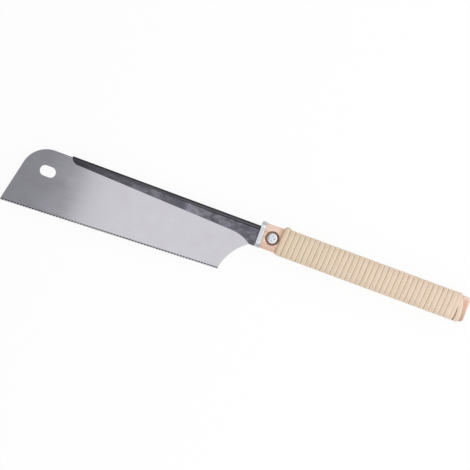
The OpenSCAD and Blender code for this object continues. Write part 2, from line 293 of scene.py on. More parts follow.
def tidy_mesh(mesh, smooth_below, merge):
    """Merges close points, turns faces outwards, and shades smooth below an angle in degrees."""
    bm = bmesh.new()
    bm.from_mesh(mesh)
    bmesh.ops.remove_doubles(bm, verts=bm.verts, dist=merge)
    bmesh.ops.recalc_face_normals(bm, faces=bm.faces)
    bm.to_mesh(mesh)
    bm.free()
    mesh.shade_smooth()
    mesh.set_sharp_from_angle(angle=math.radians(smooth_below))


def fit(piece, body, node):
    """Lets a piece ride on a body, and hides the CAD node that it stands for."""
    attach(piece, body)
    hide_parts(node)
    print(piece.name, len(piece.data.polygons), "faces, on", body)


# %% Plate from its loops
EDGE_BREAK = 0.03
plate_curve = bpy.data.curves.new("saw_plate_steel", "CURVE")
plate_curve.dimensions = "2D"
plate_curve.fill_mode = "BOTH"
plate_curve.extrude = PLATE_T / 2 - EDGE_BREAK
plate_curve.bevel_depth = EDGE_BREAK
plate_curve.bevel_resolution = 0
plate_curve.offset = -EDGE_BREAK
for loop in (outside, hole):
    spline = plate_curve.splines.new("POLY")
    spline.points.add(len(loop) - 1)
    spline.use_cyclic_u = True
    for point, at in zip(spline.points, loop):
        point.co = (at.x, at.y, 0, 1)
plate = make_plain(add_object("saw_plate_steel", plate_curve, saw_steel))
tidy_mesh(plate.data, 20, merge=1e-4)
plate.data.transform(HANDLE_AXES)
fit(plate, "blade", "saw_plate")

# %% [markdown]
# ## The teeth
# A hundred and forty-four fine teeth stand on the tooth line, filed to a knife point on alternate
# sides and without set, so that the saw leaves no scratch beside a flush cut. The file cuts both
# flanks of a tooth, and an attribute marks those faces as bright. An array modifier repeats only
# one shape, so Geometry Nodes set two filed teeth by turns on a line of points.

# %% Two filed teeth
FILED_BACK, FILED_FRONT = 0.32, 0.24  # pitches that the file takes off a tooth's root on its far side
FILED_POINT = (0.04, 0.6)  # the point left on that side: pitches along the line, and mm up from its end
FLAT = 0.9  # a face with more than this of up or down in its normal lies in the plate's flat


def tooth_point(along, up):
    """A place on a tooth: pitches along the line from its point, and mm up from it."""
    return (TOOTH_WAY * PITCH * along + TOOTH_UP * up).to_3d()


def filed_tooth(name, side):
    """One tooth with its point on one side of the plate, at the origin."""
    half = Vector((0, 0, PLATE_T / 2 * side))
    wide = [tooth_point(RAKE - 1, TOOTH_DEPTH), tooth_point(RAKE, TOOTH_DEPTH), tooth_point(0, 0)]
    slim = [tooth_point(RAKE - 1 + FILED_BACK, TOOTH_DEPTH), tooth_point(RAKE - FILED_FRONT, TOOTH_DEPTH)]
    slim += [tooth_point(*FILED_POINT)]
    corners = [p + half for p in wide] + [p - half for p in slim]
    faces = [(0, 1, 2), (3, 5, 4), (1, 4, 5), (1, 5, 2), (0, 2, 5), (0, 5, 3), (0, 3, 4, 1)]
    mesh = bpy.data.meshes.new(name)
    mesh.from_pydata(corners, [], faces)
    tidy_mesh(mesh, 10, merge=1e-6)
    filed = mesh.attributes.new("filed", "FLOAT", "FACE")
    for face in mesh.polygons:
        filed.data[face.index].value = abs(face.normal.z) < FLAT
    return add_object(name, mesh, saw_steel)


left_tooth, right_tooth = filed_tooth("left_filed_tooth", 1), filed_tooth("right_filed_tooth", -1)
print("A tooth has", len(left_tooth.data.polygons), "faces")

# %% Geometry Nodes: teeth by turns along the line
def start_tree(name, inputs):
    """A geometry tree with named inputs, its input sockets by name, and its output node."""
    tree = bpy.data.node_groups.new(name, "GeometryNodeTree")
    tree.interface.new_socket("Geometry", in_out="OUTPUT", socket_type="NodeSocketGeometry")
    for label, kind in inputs.items():
        tree.interface.new_socket(label, in_out="INPUT", socket_type="NodeSocket" + kind)
    given = tree.nodes.new("NodeGroupInput")
    return tree, {label: given.outputs[label] for label in inputs}, tree.nodes.new("NodeGroupOutput")


def run_tree(piece, tree, values):
    """Puts a tree on a piece with its inputs set, and turns the result into a plain mesh."""
    modifier = piece.modifiers.new(tree.name, "NODES")
    modifier.node_group = tree
    for item in tree.interface.items_tree:
        if item.in_out == "INPUT":
            modifier[item.identifier] = values[item.name]
    return make_plain(piece)


tree, given, result = start_tree("teeth_along_line", {
    "Count": "Int", "First": "Vector", "Step": "Vector", "Left": "Object", "Right": "Object",
    "Finish": "Material"})
row = add_node(tree, "GeometryNodeMeshLine", {
    "Count": given["Count"], "Start Location": given["First"], "Offset": given["Step"]})
index = add_node(tree, "GeometryNodeInputIndex")
odd = calculate(tree, "MODULO", index, 2)
even = calculate(tree, "SUBTRACT", 1, odd)
both = tree.nodes.new("GeometryNodeJoinGeometry")
for tooth, chosen in (("Left", odd), ("Right", even)):
    shape = add_node(tree, "GeometryNodeObjectInfo", {"Object": given[tooth]}, out="Geometry")
    set_up = add_node(tree, "GeometryNodeInstanceOnPoints", {
        "Points": row, "Selection": chosen, "Instance": shape})
    tree.links.new(set_up, both.inputs[0])
real = add_node(tree, "GeometryNodeRealizeInstances", {"Geometry": both.outputs[0]})
worn = add_node(tree, "GeometryNodeSetMaterial", {"Geometry": real, "Material": given["Finish"]})
tree.links.new(worn, result.inputs[0])
print("Tooth tree has", len(tree.nodes), "nodes")

# %% Teeth on the blade
teeth = run_tree(add_object("saw_teeth", bpy.data.meshes.new("saw_teeth"), saw_steel), tree, {
    "Count": TEETH - 1, "First": (TIP + TOOTH_WAY * PITCH).to_3d(), "Step": (TOOTH_WAY * PITCH).to_3d(),
    "Left": left_tooth, "Right": right_tooth, "Finish": saw_steel})
teeth.data.transform(HANDLE_AXES)
for pattern in (left_tooth, right_tooth):
    bpy.data.objects.remove(pattern)
fit(teeth, "blade", "saw_plate")

# %% [markdown]
# ## Blackened spine
# The spine is one strip of spring steel, folded over the plate's back and blackened with oxide.
# Handling has rubbed the black on its flat cheeks to grey in smears, more near the handle. The round fold
# above them is darker, a painted shade line runs along the crease under it, and its very top is painted
# black as a dark reflection. A copy of the CAD solid is used, with its creases rounded by a bevel, because
# its fold and flare are already right.

# %% Oxide-black spring steel
black_steel, tree, shader, place = start_finish("oxide_black_steel", 1, 0.32)
# Rubbed smears are about 4 mm across and half as long again, slanting over the cheeks.
drawn = add_node(tree, "ShaderNodeMapping", {
    "Vector": place, "Rotation": (0, 0, 0.6), "Scale": (1 / 6, 1 / 4, 1 / 6)})
smears = add_node(tree, "ShaderNodeTexNoise", {
    "Vector": drawn, "Scale": 1, "Detail": 6, "Roughness": 0.66, "Distortion": 0.5})
# The oxide's own grain is about 0.05 mm; it is drawn at 0.5 mm to show.
grain = add_node(tree, "ShaderNodeTexNoise", {"Vector": place, "Scale": 1 / 0.5, "Detail": 3})
# Hands reach 82 mm from the ferrule, and seldom past 126 mm.
along = add_node(tree, "ShaderNodeSeparateXYZ", {0: place})
handled = ramp(tree, along, -126, -82, 0, 1)
rubbed = ramp(tree, smears, 0.4, 0.8, 0, handled)
# Fingers have rubbed one place palest, 48 mm from the ferrule. Before it, at 55 to 62 mm, the black
# is nearly whole.
near = ramp(tree, along, -54, -49, 0, 0.45, smooth=True)
patch = ramp(tree, along, -47, -34, near, 0, smooth=True)
before = ramp(tree, along, -70, -62, 1, 0.2, smooth=True)
kept = ramp(tree, along, -55, -49, before, 1, smooth=True)
rubbed = calculate(tree, "MULTIPLY_ADD", rubbed, kept, patch, use_clamp=True)
oxide = blend(tree, handled, "#4B4A50", "#605F66")
cheek = blend(tree, rubbed, oxide, "#9A97A1")
mixed = calculate(tree, "ADD", rubbed, grain)
rough = ramp(tree, mixed, 0.3, 1.6, 0.26, 0.4)
tree.links.new(rough, shader.inputs["Roughness"])
bump = add_node(tree, "ShaderNodeBump", {"Strength": 0.2, "Distance": 0.02 * MM, "Height": grain})
tree.links.new(bump, shader.inputs["Normal"])
print(black_steel.name, "has", len(tree.nodes), "nodes so far")

# %% The darker fold, a painted shade line in the crease under it, and a painted dark reflection on its top
# The crease is 2.8 mm over the handle's middle at the ferrule, and climbs and fades towards the tip.
CREASE_Y, CREASE_CLIMB, TOP_Y = 2.8, 0.004, 5.42
above = distance_along(tree, place, (CREASE_CLIMB, 1, 0))
fold = ramp(tree, above, CREASE_Y - 0.3, CREASE_Y + 0.2, 0, 0.9)
colour = blend(tree, fold, cheek, "#5A595F")
# A painted shade line along the crease, fading towards the tip, and a painted dark reflection along the
# spine's top.
from_crease = calculate(tree, "COMPARE", above, CREASE_Y, 0.45)
sharp = ramp(tree, along, -120, -30, 0, 0.8)
crease = calculate(tree, "MULTIPLY", from_crease, sharp)
painted_top_reflection = ramp(tree, along.node.outputs["Y"], TOP_Y - 1.5, TOP_Y - 1.0, 0, 0.85)
painted_shade_lines = calculate(tree, "MAXIMUM", crease, painted_top_reflection)
colour = blend(tree, painted_shade_lines, colour, "#2E2D31")
tree.links.new(colour, shader.inputs["Base Color"])
print("The crease is", round(TOP_Y - CREASE_Y, 2), "mm under the spine's top")

# %% A CAD node's copy with soft edges
SHARP_ANGLE, BEVEL_SEGMENTS = 30, 3  # edges sharper than this many degrees are rounded


def soften(node, name, finish, width):
    """A copy of a CAD node, merged, with its sharp edges rounded to a width in millimetres."""
    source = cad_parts[node].data
    mesh = bpy.data.meshes.new(name)
    mesh.from_pydata([v.co for v in source.vertices], [], [list(p.vertices) for p in source.polygons])
    bm = bmesh.new()
    bm.from_mesh(mesh)
    bmesh.ops.remove_doubles(bm, verts=bm.verts, dist=1e-6)
    bmesh.ops.dissolve_limit(bm, angle_limit=math.radians(0.5), verts=bm.verts, edges=bm.edges)
    bm.to_mesh(mesh)
    bm.free()
    piece = add_object(name, mesh, finish)
    bevel = piece.modifiers.new("soft edges", "BEVEL")
    bevel.width = width * MM
    bevel.segments = BEVEL_SEGMENTS
    bevel.limit_method = "ANGLE"
    bevel.angle_limit = math.radians(SHARP_ANGLE)
    piece = make_plain(piece)
    tidy_mesh(piece.data, SHARP_ANGLE, merge=3e-5)
    return piece


spine = soften("folded_spine", "folded_spine_steel", black_steel, 0.15)
fit(spine, "blade", "folded_spine")

# %% [markdown]
# ## Ferrule
# A drawn aluminium band keeps the split end of the handle from opening. Drawing leaves fine lines round it,
# its edges are rolled smooth, and handling has stained it. It is painted darker as shade where it bends over
# the handle's sides, a little more on the tooth side, around a painted highlight line near its middle. Like
# the spine, it is a softened copy of its CAD solid, because a plain band needs no other shape.

# %% Drawn aluminium and the ferrule
drawn_aluminium, tree, shader, place = start_finish("drawn_aluminium", 1, 0.3)
# Draw lines are about 0.1 mm apart along the saw; they are drawn 0.3 mm apart to show.
lined = add_node(tree, "ShaderNodeMapping", {"Vector": place, "Scale": (1 / 0.3, 1 / 20, 1 / 20)})
lines = add_node(tree, "ShaderNodeTexNoise", {"Vector": lined, "Scale": 1, "Detail": 3})
# Stains are about 2.5 mm across.
stains = add_node(tree, "ShaderNodeTexNoise", {"Vector": place, "Scale": 1 / 2.5, "Detail": 4})
tone = calculate(tree, "MULTIPLY", lines, stains)
shade = ramp(tree, tone, 0.12, 0.38, 0, 1)
bright = blend(tree, shade, "#C3C6CB", "#EEF0F3")
# A painted highlight line lies 0.5 mm from the handle's middle, towards the spine; away from it the band is
# painted darker as shade.
across = add_node(tree, "ShaderNodeSeparateXYZ", {0: place}, out="Y")
off_middle = calculate(tree, "SUBTRACT", across, 0.5)
from_middle = calculate(tree, "ABSOLUTE", off_middle)
painted_side_shade = ramp(tree, from_middle, 4, 8.5, 0, 0.52, smooth=True)
colour = blend(tree, painted_side_shade, bright, "#9A999D")
tree.links.new(colour, shader.inputs["Base Color"])
rough = ramp(tree, tone, 0.12, 0.38, 0.38, 0.24)
tree.links.new(rough, shader.inputs["Roughness"])
bump = add_node(tree, "ShaderNodeBump", {"Strength": 0.3, "Distance": 0.02 * MM, "Height": lines})
tree.links.new(bump, shader.inputs["Normal"])
ferrule = soften("ferrule", "ferrule_band", drawn_aluminium, 0.3)
fit(ferrule, "handle", "ferrule")

# %% [markdown]
# ## Handle wood
# The handle is a plain pale softwood, pinkish and oiled, with its grain along the saw. Its growth lines are
# a millimetre or two apart. It is redder where the cane starts, partly from oil and partly as painted shade
# from the first turn, grey with dirt beside the ferrule, and brown on the bare butt, which soaked up more
# oil. The butt is painted darker on the tooth side as shade, and paler on the spine side and at its end as
# light. Streaks of noise alone would look like wood from above, but not on the end grain, so rings are used
# too.

# %% Oiled softwood
softwood, tree, shader, place = start_finish("oiled_softwood", 0, 0.5)
# Growth rings run round a pith outside the handle, so the butt shows arcs and the sides show lines.
RING_SPACING = 1.4
WAVE_LENGTH = 2 * math.pi / 20  # the wave node repeats after this much of its space
sawn = add_node(tree, "ShaderNodeMapping", {
    "Vector": place, "Location": (0, 9, 16), "Scale": (1 / 40, 1, 1)})
growth = add_node(tree, "ShaderNodeTexWave", {
    "Vector": sawn, "Scale": WAVE_LENGTH / RING_SPACING, "Distortion": 2.5, "Detail": 2,
    "Detail Scale": 0.6}, out="Fac", wave_type="RINGS", rings_direction="X")
# Fibres are about 0.05 mm wide; they are drawn 0.25 mm wide and 8 mm long to show.
fibred = add_node(tree, "ShaderNodeMapping", {"Vector": place, "Scale": (1 / 8, 1 / 0.25, 1 / 0.25)})
fibres = add_node(tree, "ShaderNodeTexNoise", {"Vector": fibred, "Scale": 1, "Detail": 2})
late = ramp(tree, growth, 0.15, 1, 0, 0.9)
pale = blend(tree, late, "#E7CBBB", "#D9B29D")
pores = ramp(tree, fibres, 0.5, 0.75, 0, 0.5)
wood = blend(tree, pores, pale, "#C99878")
rough = ramp(tree, fibres, 0.3, 0.7, 0.42, 0.6)
tree.links.new(rough, shader.inputs["Roughness"])
bump = add_node(tree, "ShaderNodeBump", {"Strength": 0.3, "Distance": 0.05 * MM, "Height": fibres})
tree.links.new(bump, shader.inputs["Normal"])
print(softwood.name, "has", len(tree.nodes), "nodes so far")

# %% Where the wood is stained, and where light and shade are painted on it
# A stain or a painted light or shade grows from its first x and y to its second: x from, x to, y from, y to,
# share, colour.
STAINS_AND_PAINTED_LIGHT = (
    (-1, 3, 3, 7, 0.35, "#F2D8CA"),  # paler along the spine side
    (-1, 3, -3, -7, 0.3, "#C9A48C"),  # browner along the tooth side
    (11, 14.3, -4, 3, 0.5, "#C08C6C"),  # oiled redder where the cane starts, and painted darker as the first turn's shade, most on the spine side
    (5.5, 3.6, 4, -3, 0.4, "#B7A79C"),  # grey beside the ferrule, most on the tooth side
    (141.4, 142.4, -40, -39, 0.8, "#CCA68E"),  # brown on the whole butt
    (141.4, 142.4, 1, -4, 0.6, "#AB8E80"),  # painted shade on the butt's tooth side
    (141.4, 142.4, 4.4, 7.6, 0.7, "#EFD4C6"),  # painted light on its spine side
    (145.3, 146.2, -40, -39, 0.4, "#E6C8B6"),  # painted highlight on the chamfer at its very end
)
along = add_node(tree, "ShaderNodeSeparateXYZ", {0: place})
across = along.node.outputs["Y"]
for x_from, x_to, y_from, y_to, share, stain_or_painted_light in STAINS_AND_PAINTED_LIGHT:
    reach = ramp(tree, along, x_from, x_to, 0, share, smooth=True)
    amount = ramp(tree, across, y_from, y_to, 0, reach, smooth=True)
    wood = blend(tree, amount, wood, stain_or_painted_light)
# The end grain of the butt drank more oil in its rings.
end = ramp(tree, along, 146.1, 146.25, 0, 0.6)
rings = calculate(tree, "MULTIPLY", end, growth)
wood = blend(tree, rings, wood, "#B5805F")
tree.links.new(wood, shader.inputs["Base Color"])
print(len(STAINS_AND_PAINTED_LIGHT), "stains on the wood")

# %% Handle core
core = soften("handle_core", "handle_core_wood", softwood, 0.35)
fit(core, "handle", "handle_core")

# %% [markdown]
# ## Split cane
# The grip is wound with split rattan: flat strips of the cane's own glossy skin, straw-coloured,
# with fibres along the strip and no two turns quite the same. A pattern in space would cut across
# the turns, so the finish reads an attribute that the winding stores on its mesh: the way along the
# strand, the place across it, and the turn.

# %% Rattan skin
TURNS = 37  # of cane, as counted in the photograph
rattan, tree, shader, _ = start_finish("split_rattan_skin", 0, 0.45)
strand = add_node(tree, "ShaderNodeAttribute", {}, out="Vector", attribute_name="strand")
# Fibres are about 0.15 mm wide; they are drawn 0.35 mm wide and 15 mm long to show.
fibred = add_node(tree, "ShaderNodeMapping", {"Vector": strand, "Scale": (1 / 15, 1 / 0.35, 3.7)})
fibres = add_node(tree, "ShaderNodeTexNoise", {"Vector": fibred, "Scale": 1, "Detail": 3})
# The colour drifts over about 40 mm of strand, and it is pinker towards the butt.
drifted = add_node(tree, "ShaderNodeMapping", {"Vector": strand, "Scale": (1 / 40, 1 / 6, 1.3)})
drift = add_node(tree, "ShaderNodeTexNoise", {"Vector": drifted, "Scale": 1, "Detail": 3})
across = add_node(tree, "ShaderNodeSeparateXYZ", {0: strand}, out="Y")
turns = across.node.outputs["Z"]
later = ramp(tree, turns, 0, TURNS, -0.15, 0.15)
ripe = calculate(tree, "ADD", drift, later)
ripe = ramp(tree, ripe, 0.25, 0.75, 0, 1)
straw = blend(tree, ripe, "#DACAAE", "#E3CBBA")
dark_fibres = ramp(tree, fibres, 0.45, 0.75, 0, 0.55)
skin = blend(tree, dark_fibres, straw, "#C6AC8B")
rough = ramp(tree, fibres, 0.3, 0.7, 0.38, 0.55)
tree.links.new(rough, shader.inputs["Roughness"])
bump = add_node(tree, "ShaderNodeBump", {"Strength": 0.35, "Distance": 0.04 * MM, "Height": fibres})
tree.links.new(bump, shader.inputs["Normal"])
print(rattan.name, "has", len(tree.nodes), "nodes so far")

# %% The strip's two edges, painted with a highlight and with shade, and painted shade on the first turn
# The raised edge gets a painted highlight over its last millimetre, and both edges get painted shade, as in
# the grooves between strips.
painted_edge_highlight = ramp(tree, across, 0.6, 1.2, 0, 0.25, smooth=True)
skin = blend(tree, painted_edge_highlight, skin, "#F3E2CE")
from_middle = calculate(tree, "ABSOLUTE", across)
edge = ramp(tree, from_middle, 1.4, 1.75, 0, 0.7)
skin = blend(tree, edge, skin, "#B2977A")
# The first turn is painted browner towards the ferrule, as shade where it slopes up from the wood.
painted_slope_shade = ramp(tree, across, 0.6, -1.6, 0, 0.3)
first = ramp(tree, turns, 0.9, 1, painted_slope_shade, 0)
skin = blend(tree, first, skin, "#DDA988")
# A painted shadow lies along the first turn's butt-side edge, in the gap to the second turn, most on the
# tooth side.
painted_groove_shadow = ramp(tree, across, 1.6, 2.1, 0, 0.9)
painted_groove_shadow = ramp(tree, turns, 0.3, 0.65, painted_groove_shadow, 0)
skin = blend(tree, painted_groove_shadow, skin, "#6E5C4C")
tree.links.new(skin, shader.inputs["Base Color"])
print(rattan.name, "has", len(tree.nodes), "nodes")

# %% [markdown]
# ## Winding the cane
# The strand follows a rule: it goes round a rounded rectangle while it creeps along the handle.
# A strip swept along a curve could twist on the way, so a Geometry Nodes grid carries the rule: one
# side of the grid is the way along the strand, the other goes round the strip's cross-section. The
# first turn humps up, as over a start tucked under it, and the last one leans back and is tucked
# under its neighbour.

# %% Inputs of the winding
FIRST_TURN, LAST_TURN = 0.08, 36.76
tree, given, result = start_tree("cane_winding", {
    "Turns from": "Float", "Turns to": "Float", "Rings": "Int", "Start": "Float", "Pitch": "Float",
    "Width": "Float", "Thickness": "Float", "Round height": "Float", "Round thickness": "Float",
    "Corner": "Float", "Table": "Float", "Finish": "Material"})
girth = add_node(tree, "GeometryNodeCurvePrimitiveQuadrilateral", {
    "Width": given["Round height"], "Height": given["Round thickness"]})
girth = add_node(tree, "GeometryNodeFilletCurve", {
    "Curve": girth, "Count": 12, "Radius": given["Corner"]}, mode="POLY")
grid = add_node(tree, "GeometryNodeMeshGrid", {
    "Size X": 1, "Size Y": 1, "Vertices X": given["Rings"], "Vertices Y": 25})
spot = add_node(tree, "GeometryNodeInputPosition")
along = add_node(tree, "ShaderNodeSeparateXYZ", {0: spot})
around = along.node.outputs["Y"]
turn = ramp(tree, along, -0.5, 0.5, given["Turns from"], given["Turns to"])
print("Winding has", len(given), "named inputs")

# %% Where the strand is on the handle's girth
# The curve starts on the spine's side and runs over the top. The strand runs the other way, and
# its turns are counted from the middle of the underside.
UNDERSIDE = 0.2873  # the part of the girth from the curve's start to there
onward = calculate(tree, "ADD", turn, UNDERSIDE)
part = calculate(tree, "FRACT", onward)
back = calculate(tree, "SUBTRACT", 1, part)
foot = add_node(tree, "GeometryNodeSampleCurve", {
    "Curves": girth, "Factor": back}, out="Position", mode="FACTOR")
outward = add_node(tree, "ShaderNodeVectorRotate", {
    "Vector": foot.node.outputs["Tangent"], "Angle": -math.pi / 2}, rotation_type="Z_AXIS")
print("Turns start", UNDERSIDE, "of the girth from the curve's start")

# %% The strip's cross-section: a flat oval, closed to a point at both ends
FULLNESS = 0.7  # 1 gives an ellipse, and less than 1 squares it
angle = ramp(tree, around, -0.5, 0.5, -math.pi / 2, 1.5 * math.pi)
section = []
for trigonometry in ("COSINE", "SINE"):
    plain = calculate(tree, trigonometry, angle)
    size = calculate(tree, "ABSOLUTE", plain)
    full = calculate(tree, "POWER", size, FULLNESS)
    sign = calculate(tree, "SIGN", plain)
    section.append(calculate(tree, "MULTIPLY", full, sign))
# Only the grid's first and last rows, which close the ends, lie past 0.4999.
inside = calculate(tree, "ABSOLUTE", along)
open_end = calculate(tree, "LESS_THAN", inside, 0.4999)
# The first turn is pressed a quarter wider than the others.
half_width = ramp(tree, turn, 0.95, 1.2, 0.63, 0.5, smooth=True)
half_width = calculate(tree, "MULTIPLY", given["Width"], half_width)
wide = calculate(tree, "MULTIPLY", half_width, open_end)
across = calculate(tree, "MULTIPLY", section[0], wide)
half_thick = calculate(tree, "MULTIPLY", given["Thickness"], 0.5)
thick = calculate(tree, "MULTIPLY", half_thick, open_end)
rise = calculate(tree, "MULTIPLY_ADD", section[1], thick, half_thick)
print("Winding tree has", len(tree.nodes), "nodes so far")

# %% How far the strand creeps and lifts: the rule and a hand's wander
# The strand starts straight round the handle and creeps only after 0.4 of a turn.
whole_turns = calculate(tree, "MAXIMUM", turn, 0.4)
creep = calculate(tree, "MULTIPLY_ADD", whole_turns, given["Pitch"], given["Start"])
wander = add_node(tree, "ShaderNodeTexNoise", {"W": turn, "Scale": 0.9, "Detail": 1}, noise_dimensions="1D")
sway = ramp(tree, wander, 0, 1, -0.06, 0.06)
# The roll lifts each strip's butt side a little over the next strip, as happens where strips are laid
# close. The last strip, with nothing beyond it, rolls the other way.
ROLL = 0.06
roll = ramp(tree, turn, TURNS - 1, TURNS - 0.75, ROLL, -ROLL)
lift = calculate(tree, "MULTIPLY", across, roll)
jump = add_node(tree, "ShaderNodeTexNoise", {"W": turn, "Scale": 2.3, "Detail": 1}, noise_dimensions="1D")
hop = ramp(tree, jump, 0, 1, -0.07, 0.07)
# The first turn's outer edge is pressed down on the wood.
pressed = ramp(tree, across, -2, -1.2, -0.2, 0, smooth=True)
press = ramp(tree, turn, 0.85, 1.05, pressed, hop)
creep = calculate(tree, "ADD", creep, sway)
lift = calculate(tree, "ADD", lift, press)
# The first turn humps up on the spine's side, as over a start tucked under it, most in its middle.
hump = ramp(tree, turn, 0.55, 0.73, 0, 1.15, smooth=True)
hump = ramp(tree, turn, 0.77, 0.87, hump, 0, smooth=True)
square = calculate(tree, "MULTIPLY", across, across)
crown = calculate(tree, "MULTIPLY_ADD", square, -0.15, 1)
hump = calculate(tree, "MULTIPLY", hump, crown)
lift = calculate(tree, "ADD", lift, hump)
print("Winding tree has", len(tree.nodes), "nodes with its creep and lift")

# %% The strand's two ends
# Each is made of smooth steps over part of a turn: first turn, last turn, creep in mm, lift in mm.
START_DEPTH = 0.35  # how far the strand starts under its place on the wood
ENDS = (
    (FIRST_TURN, 0.25, 0, START_DEPTH),  # the start comes up
    (0.5, 0.75, -0.15, 0),  # and leans to the ferrule
    (0.85, 1.1, 0.45, 0),  # the second turn starts a little further on
    (1.55, 1.75, 0, 0.1),  # and stands up a little beside the hump
    (1.8, 2.05, 0, -0.1),
    (34.85, 35.2, -0.5, 0),  # the last turns lie closer
    (35.35, 35.6, 0, 0.12),  # and one is lifted by the end under it
    (35.8, 36.0, 0, -0.12),
    (36.05, 36.45, 0.85, 0),  # the end swings out to the butt
    (36.38, 36.9, -6.4, 0),  # and runs back under its neighbours
    (36.4, 36.68, 0, -0.85),
)
for first, last, step_x, step_out in ENDS:
    if step_x:
        step = ramp(tree, turn, first, last, 0, step_x, smooth=True)
        creep = calculate(tree, "ADD", creep, step)
    if step_out:
        step = ramp(tree, turn, first, last, 0, step_out, smooth=True)
        lift = calculate(tree, "ADD", lift, step)
tucked = calculate(tree, "SUBTRACT", lift, START_DEPTH)
print(len(ENDS), "steps shape the strand's two ends")

# %% Put the strand together
high = calculate(tree, "ADD", rise, tucked)
out_by = add_node(tree, "ShaderNodeVectorMath", {0: outward, "Scale": high}, operation="SCALE")
ring = add_node(tree, "ShaderNodeVectorMath", {0: foot, 1: out_by}, operation="ADD")
ring_y = add_node(tree, "ShaderNodeSeparateXYZ", {0: ring})
# On the table the strips are worn flat, each with its ferrule side a hair higher, under its neighbour.
hair = ramp(tree, across, -1.7, 1.5, 0.1, 0)
flat = calculate(tree, "ADD", given["Table"], hair)
ring_z = calculate(tree, "MAXIMUM", ring_y.node.outputs["Y"], flat)
ring_x = calculate(tree, "ADD", creep, across)
where = add_node(tree, "ShaderNodeCombineXYZ", {0: ring_x, 1: ring_y, 2: ring_z})
GIRTH = 53.6  # mm of strand in a turn
way = calculate(tree, "MULTIPLY", turn, GIRTH)
mark = add_node(tree, "ShaderNodeCombineXYZ", {0: way, 1: across, 2: turn})
marked = add_node(tree, "GeometryNodeStoreNamedAttribute", {
    "Geometry": grid, "Name": "strand", "Value": mark}, data_type="FLOAT_VECTOR", domain="POINT")
wound = add_node(tree, "GeometryNodeSetPosition", {"Geometry": marked, "Position": where})
joined = add_node(tree, "GeometryNodeMergeByDistance", {"Geometry": wound, "Distance": 0.002})
smooth = add_node(tree, "GeometryNodeSetShadeSmooth", {"Geometry": joined})
real = add_node(tree, "GeometryNodeRealizeInstances", {"Geometry": smooth})
worn = add_node(tree, "GeometryNodeSetMaterial", {"Geometry": real, "Material": given["Finish"]})
tree.links.new(worn, result.inputs[0])
print("Winding tree has", len(tree.nodes), "nodes")

# %% Wind the grip
cane = run_tree(add_object("cane_winding", bpy.data.meshes.new("cane_winding"), rattan), tree, {
    "Turns from": FIRST_TURN, "Turns to": LAST_TURN, "Rings": 1830, "Start": 15.0, "Pitch": 3.476,
    "Width": 3.46, "Thickness": 1.1, "Round height": 17.0, "Round thickness": 14.2, "Corner": 5.1,
    "Table": TABLE_Z, "Finish": rattan})
tidy_mesh(cane.data, 180, merge=1e-4)
cane.data.transform(HANDLE_AXES)
fit(cane, "handle", "cane_wrap")

# %% [markdown]
# ## Clamp screw, washer and nut
# A zinc-plated pan-head screw with a cross recess pulls the split handle together on the tang,
# through a dark washer and into a hexagon nut on the far side. A screw modifier gives a thread that
# ends abruptly, so the screw is turned from a profile, with its thread as a ripple of the radius
# that fades at both ends, and the recess is cut by a tapered cross.

# %% Bright zinc and dark oxide
bright_zinc, tree, shader, place = start_finish("bright_zinc_plate", 1, 0.2)
# The plating's crystals are far below 0.1 mm; they are drawn 0.4 mm across to show.
spangle = add_node(tree, "ShaderNodeTexNoise", {"Vector": place, "Scale": 1 / 0.4, "Detail": 3})
zinc = blend(tree, spangle, "#D2D9E1", "#F6F9FC")
# The head is darker towards its rim, from 1.4 to 2.6 mm out from the screw's axis.
centred = add_node(tree, "ShaderNodeMapping", {
    "Vector": place, "Location": (-SCREW_X, 0, 0), "Scale": (1, 1, 0)})
from_axis = add_node(tree, "ShaderNodeVectorMath", {0: centred}, out="Value", operation="LENGTH")
darker_rim = ramp(tree, from_axis, 1.4, 2.6, 0, 0.45, smooth=True)
colour = blend(tree, darker_rim, zinc, "#B8AEAB")
tree.links.new(colour, shader.inputs["Base Color"])
rough = ramp(tree, spangle, 0.3, 0.7, 0.14, 0.28)
tree.links.new(rough, shader.inputs["Roughness"])
print(bright_zinc.name, "has", len(tree.nodes), "nodes")
dark_oxide, tree, shader, place = start_finish("dark_oxide_steel", 1, 0.4)
# The oxide is worn in spots about 0.8 mm across.
worn = add_node(tree, "ShaderNodeTexNoise", {"Vector": place, "Scale": 1 / 0.8, "Detail": 4})
colour = blend(tree, worn, "#897164", "#BDA699")
tree.links.new(colour, shader.inputs["Base Color"])
rough = ramp(tree, worn, 0.3, 0.7, 0.5, 0.3)
tree.links.new(rough, shader.inputs["Roughness"])
print(dark_oxide.name, "has", len(tree.nodes), "nodes")

# %% Profile of the screw
SHANK_L, SHANK_R, SHANK_ROWS = 10.0, 2.0, 100
THREAD_PITCH, THREAD_DEPTH = 0.7, 0.3
POINT_L, POINT_STEP = 0.5, 0.35
RUN_OUT_POINT, RUN_OUT_HEAD = 0.8, 1.2  # mm over which the thread fades at its two ends
HEAD_Z, HEAD_H, DOME_Z, DOME_R = 4.2, 2.6, 1.72, 3.56
SEGMENTS = 64


def shank_radius(z, angle):
    """Radius of the shank: a thread that runs out at the point and under the head."""
    crest = abs(2 * ((z / THREAD_PITCH - angle / (2 * math.pi)) % 1) - 1)
    from_point = z + SHANK_L
    fade = max(0, min(1, from_point / RUN_OUT_POINT, -z / RUN_OUT_HEAD))
    return SHANK_R - THREAD_DEPTH * crest * fade - POINT_STEP * max(0, 1 - from_point / POINT_L)


head = [(3.5, 0.0), (3.65, 0.06), (3.7, 0.2), (3.7, 1.25), (3.67, 1.5), (DOME_R, DOME_Z)]
for degrees in range(10, 90, 10):
    rise = math.radians(degrees)
    head.append((DOME_R * math.cos(rise), DOME_Z + (HEAD_H - DOME_Z) * math.sin(rise)))
print("Head of", len(head), "rings on a shank of", SHANK_ROWS + 1)

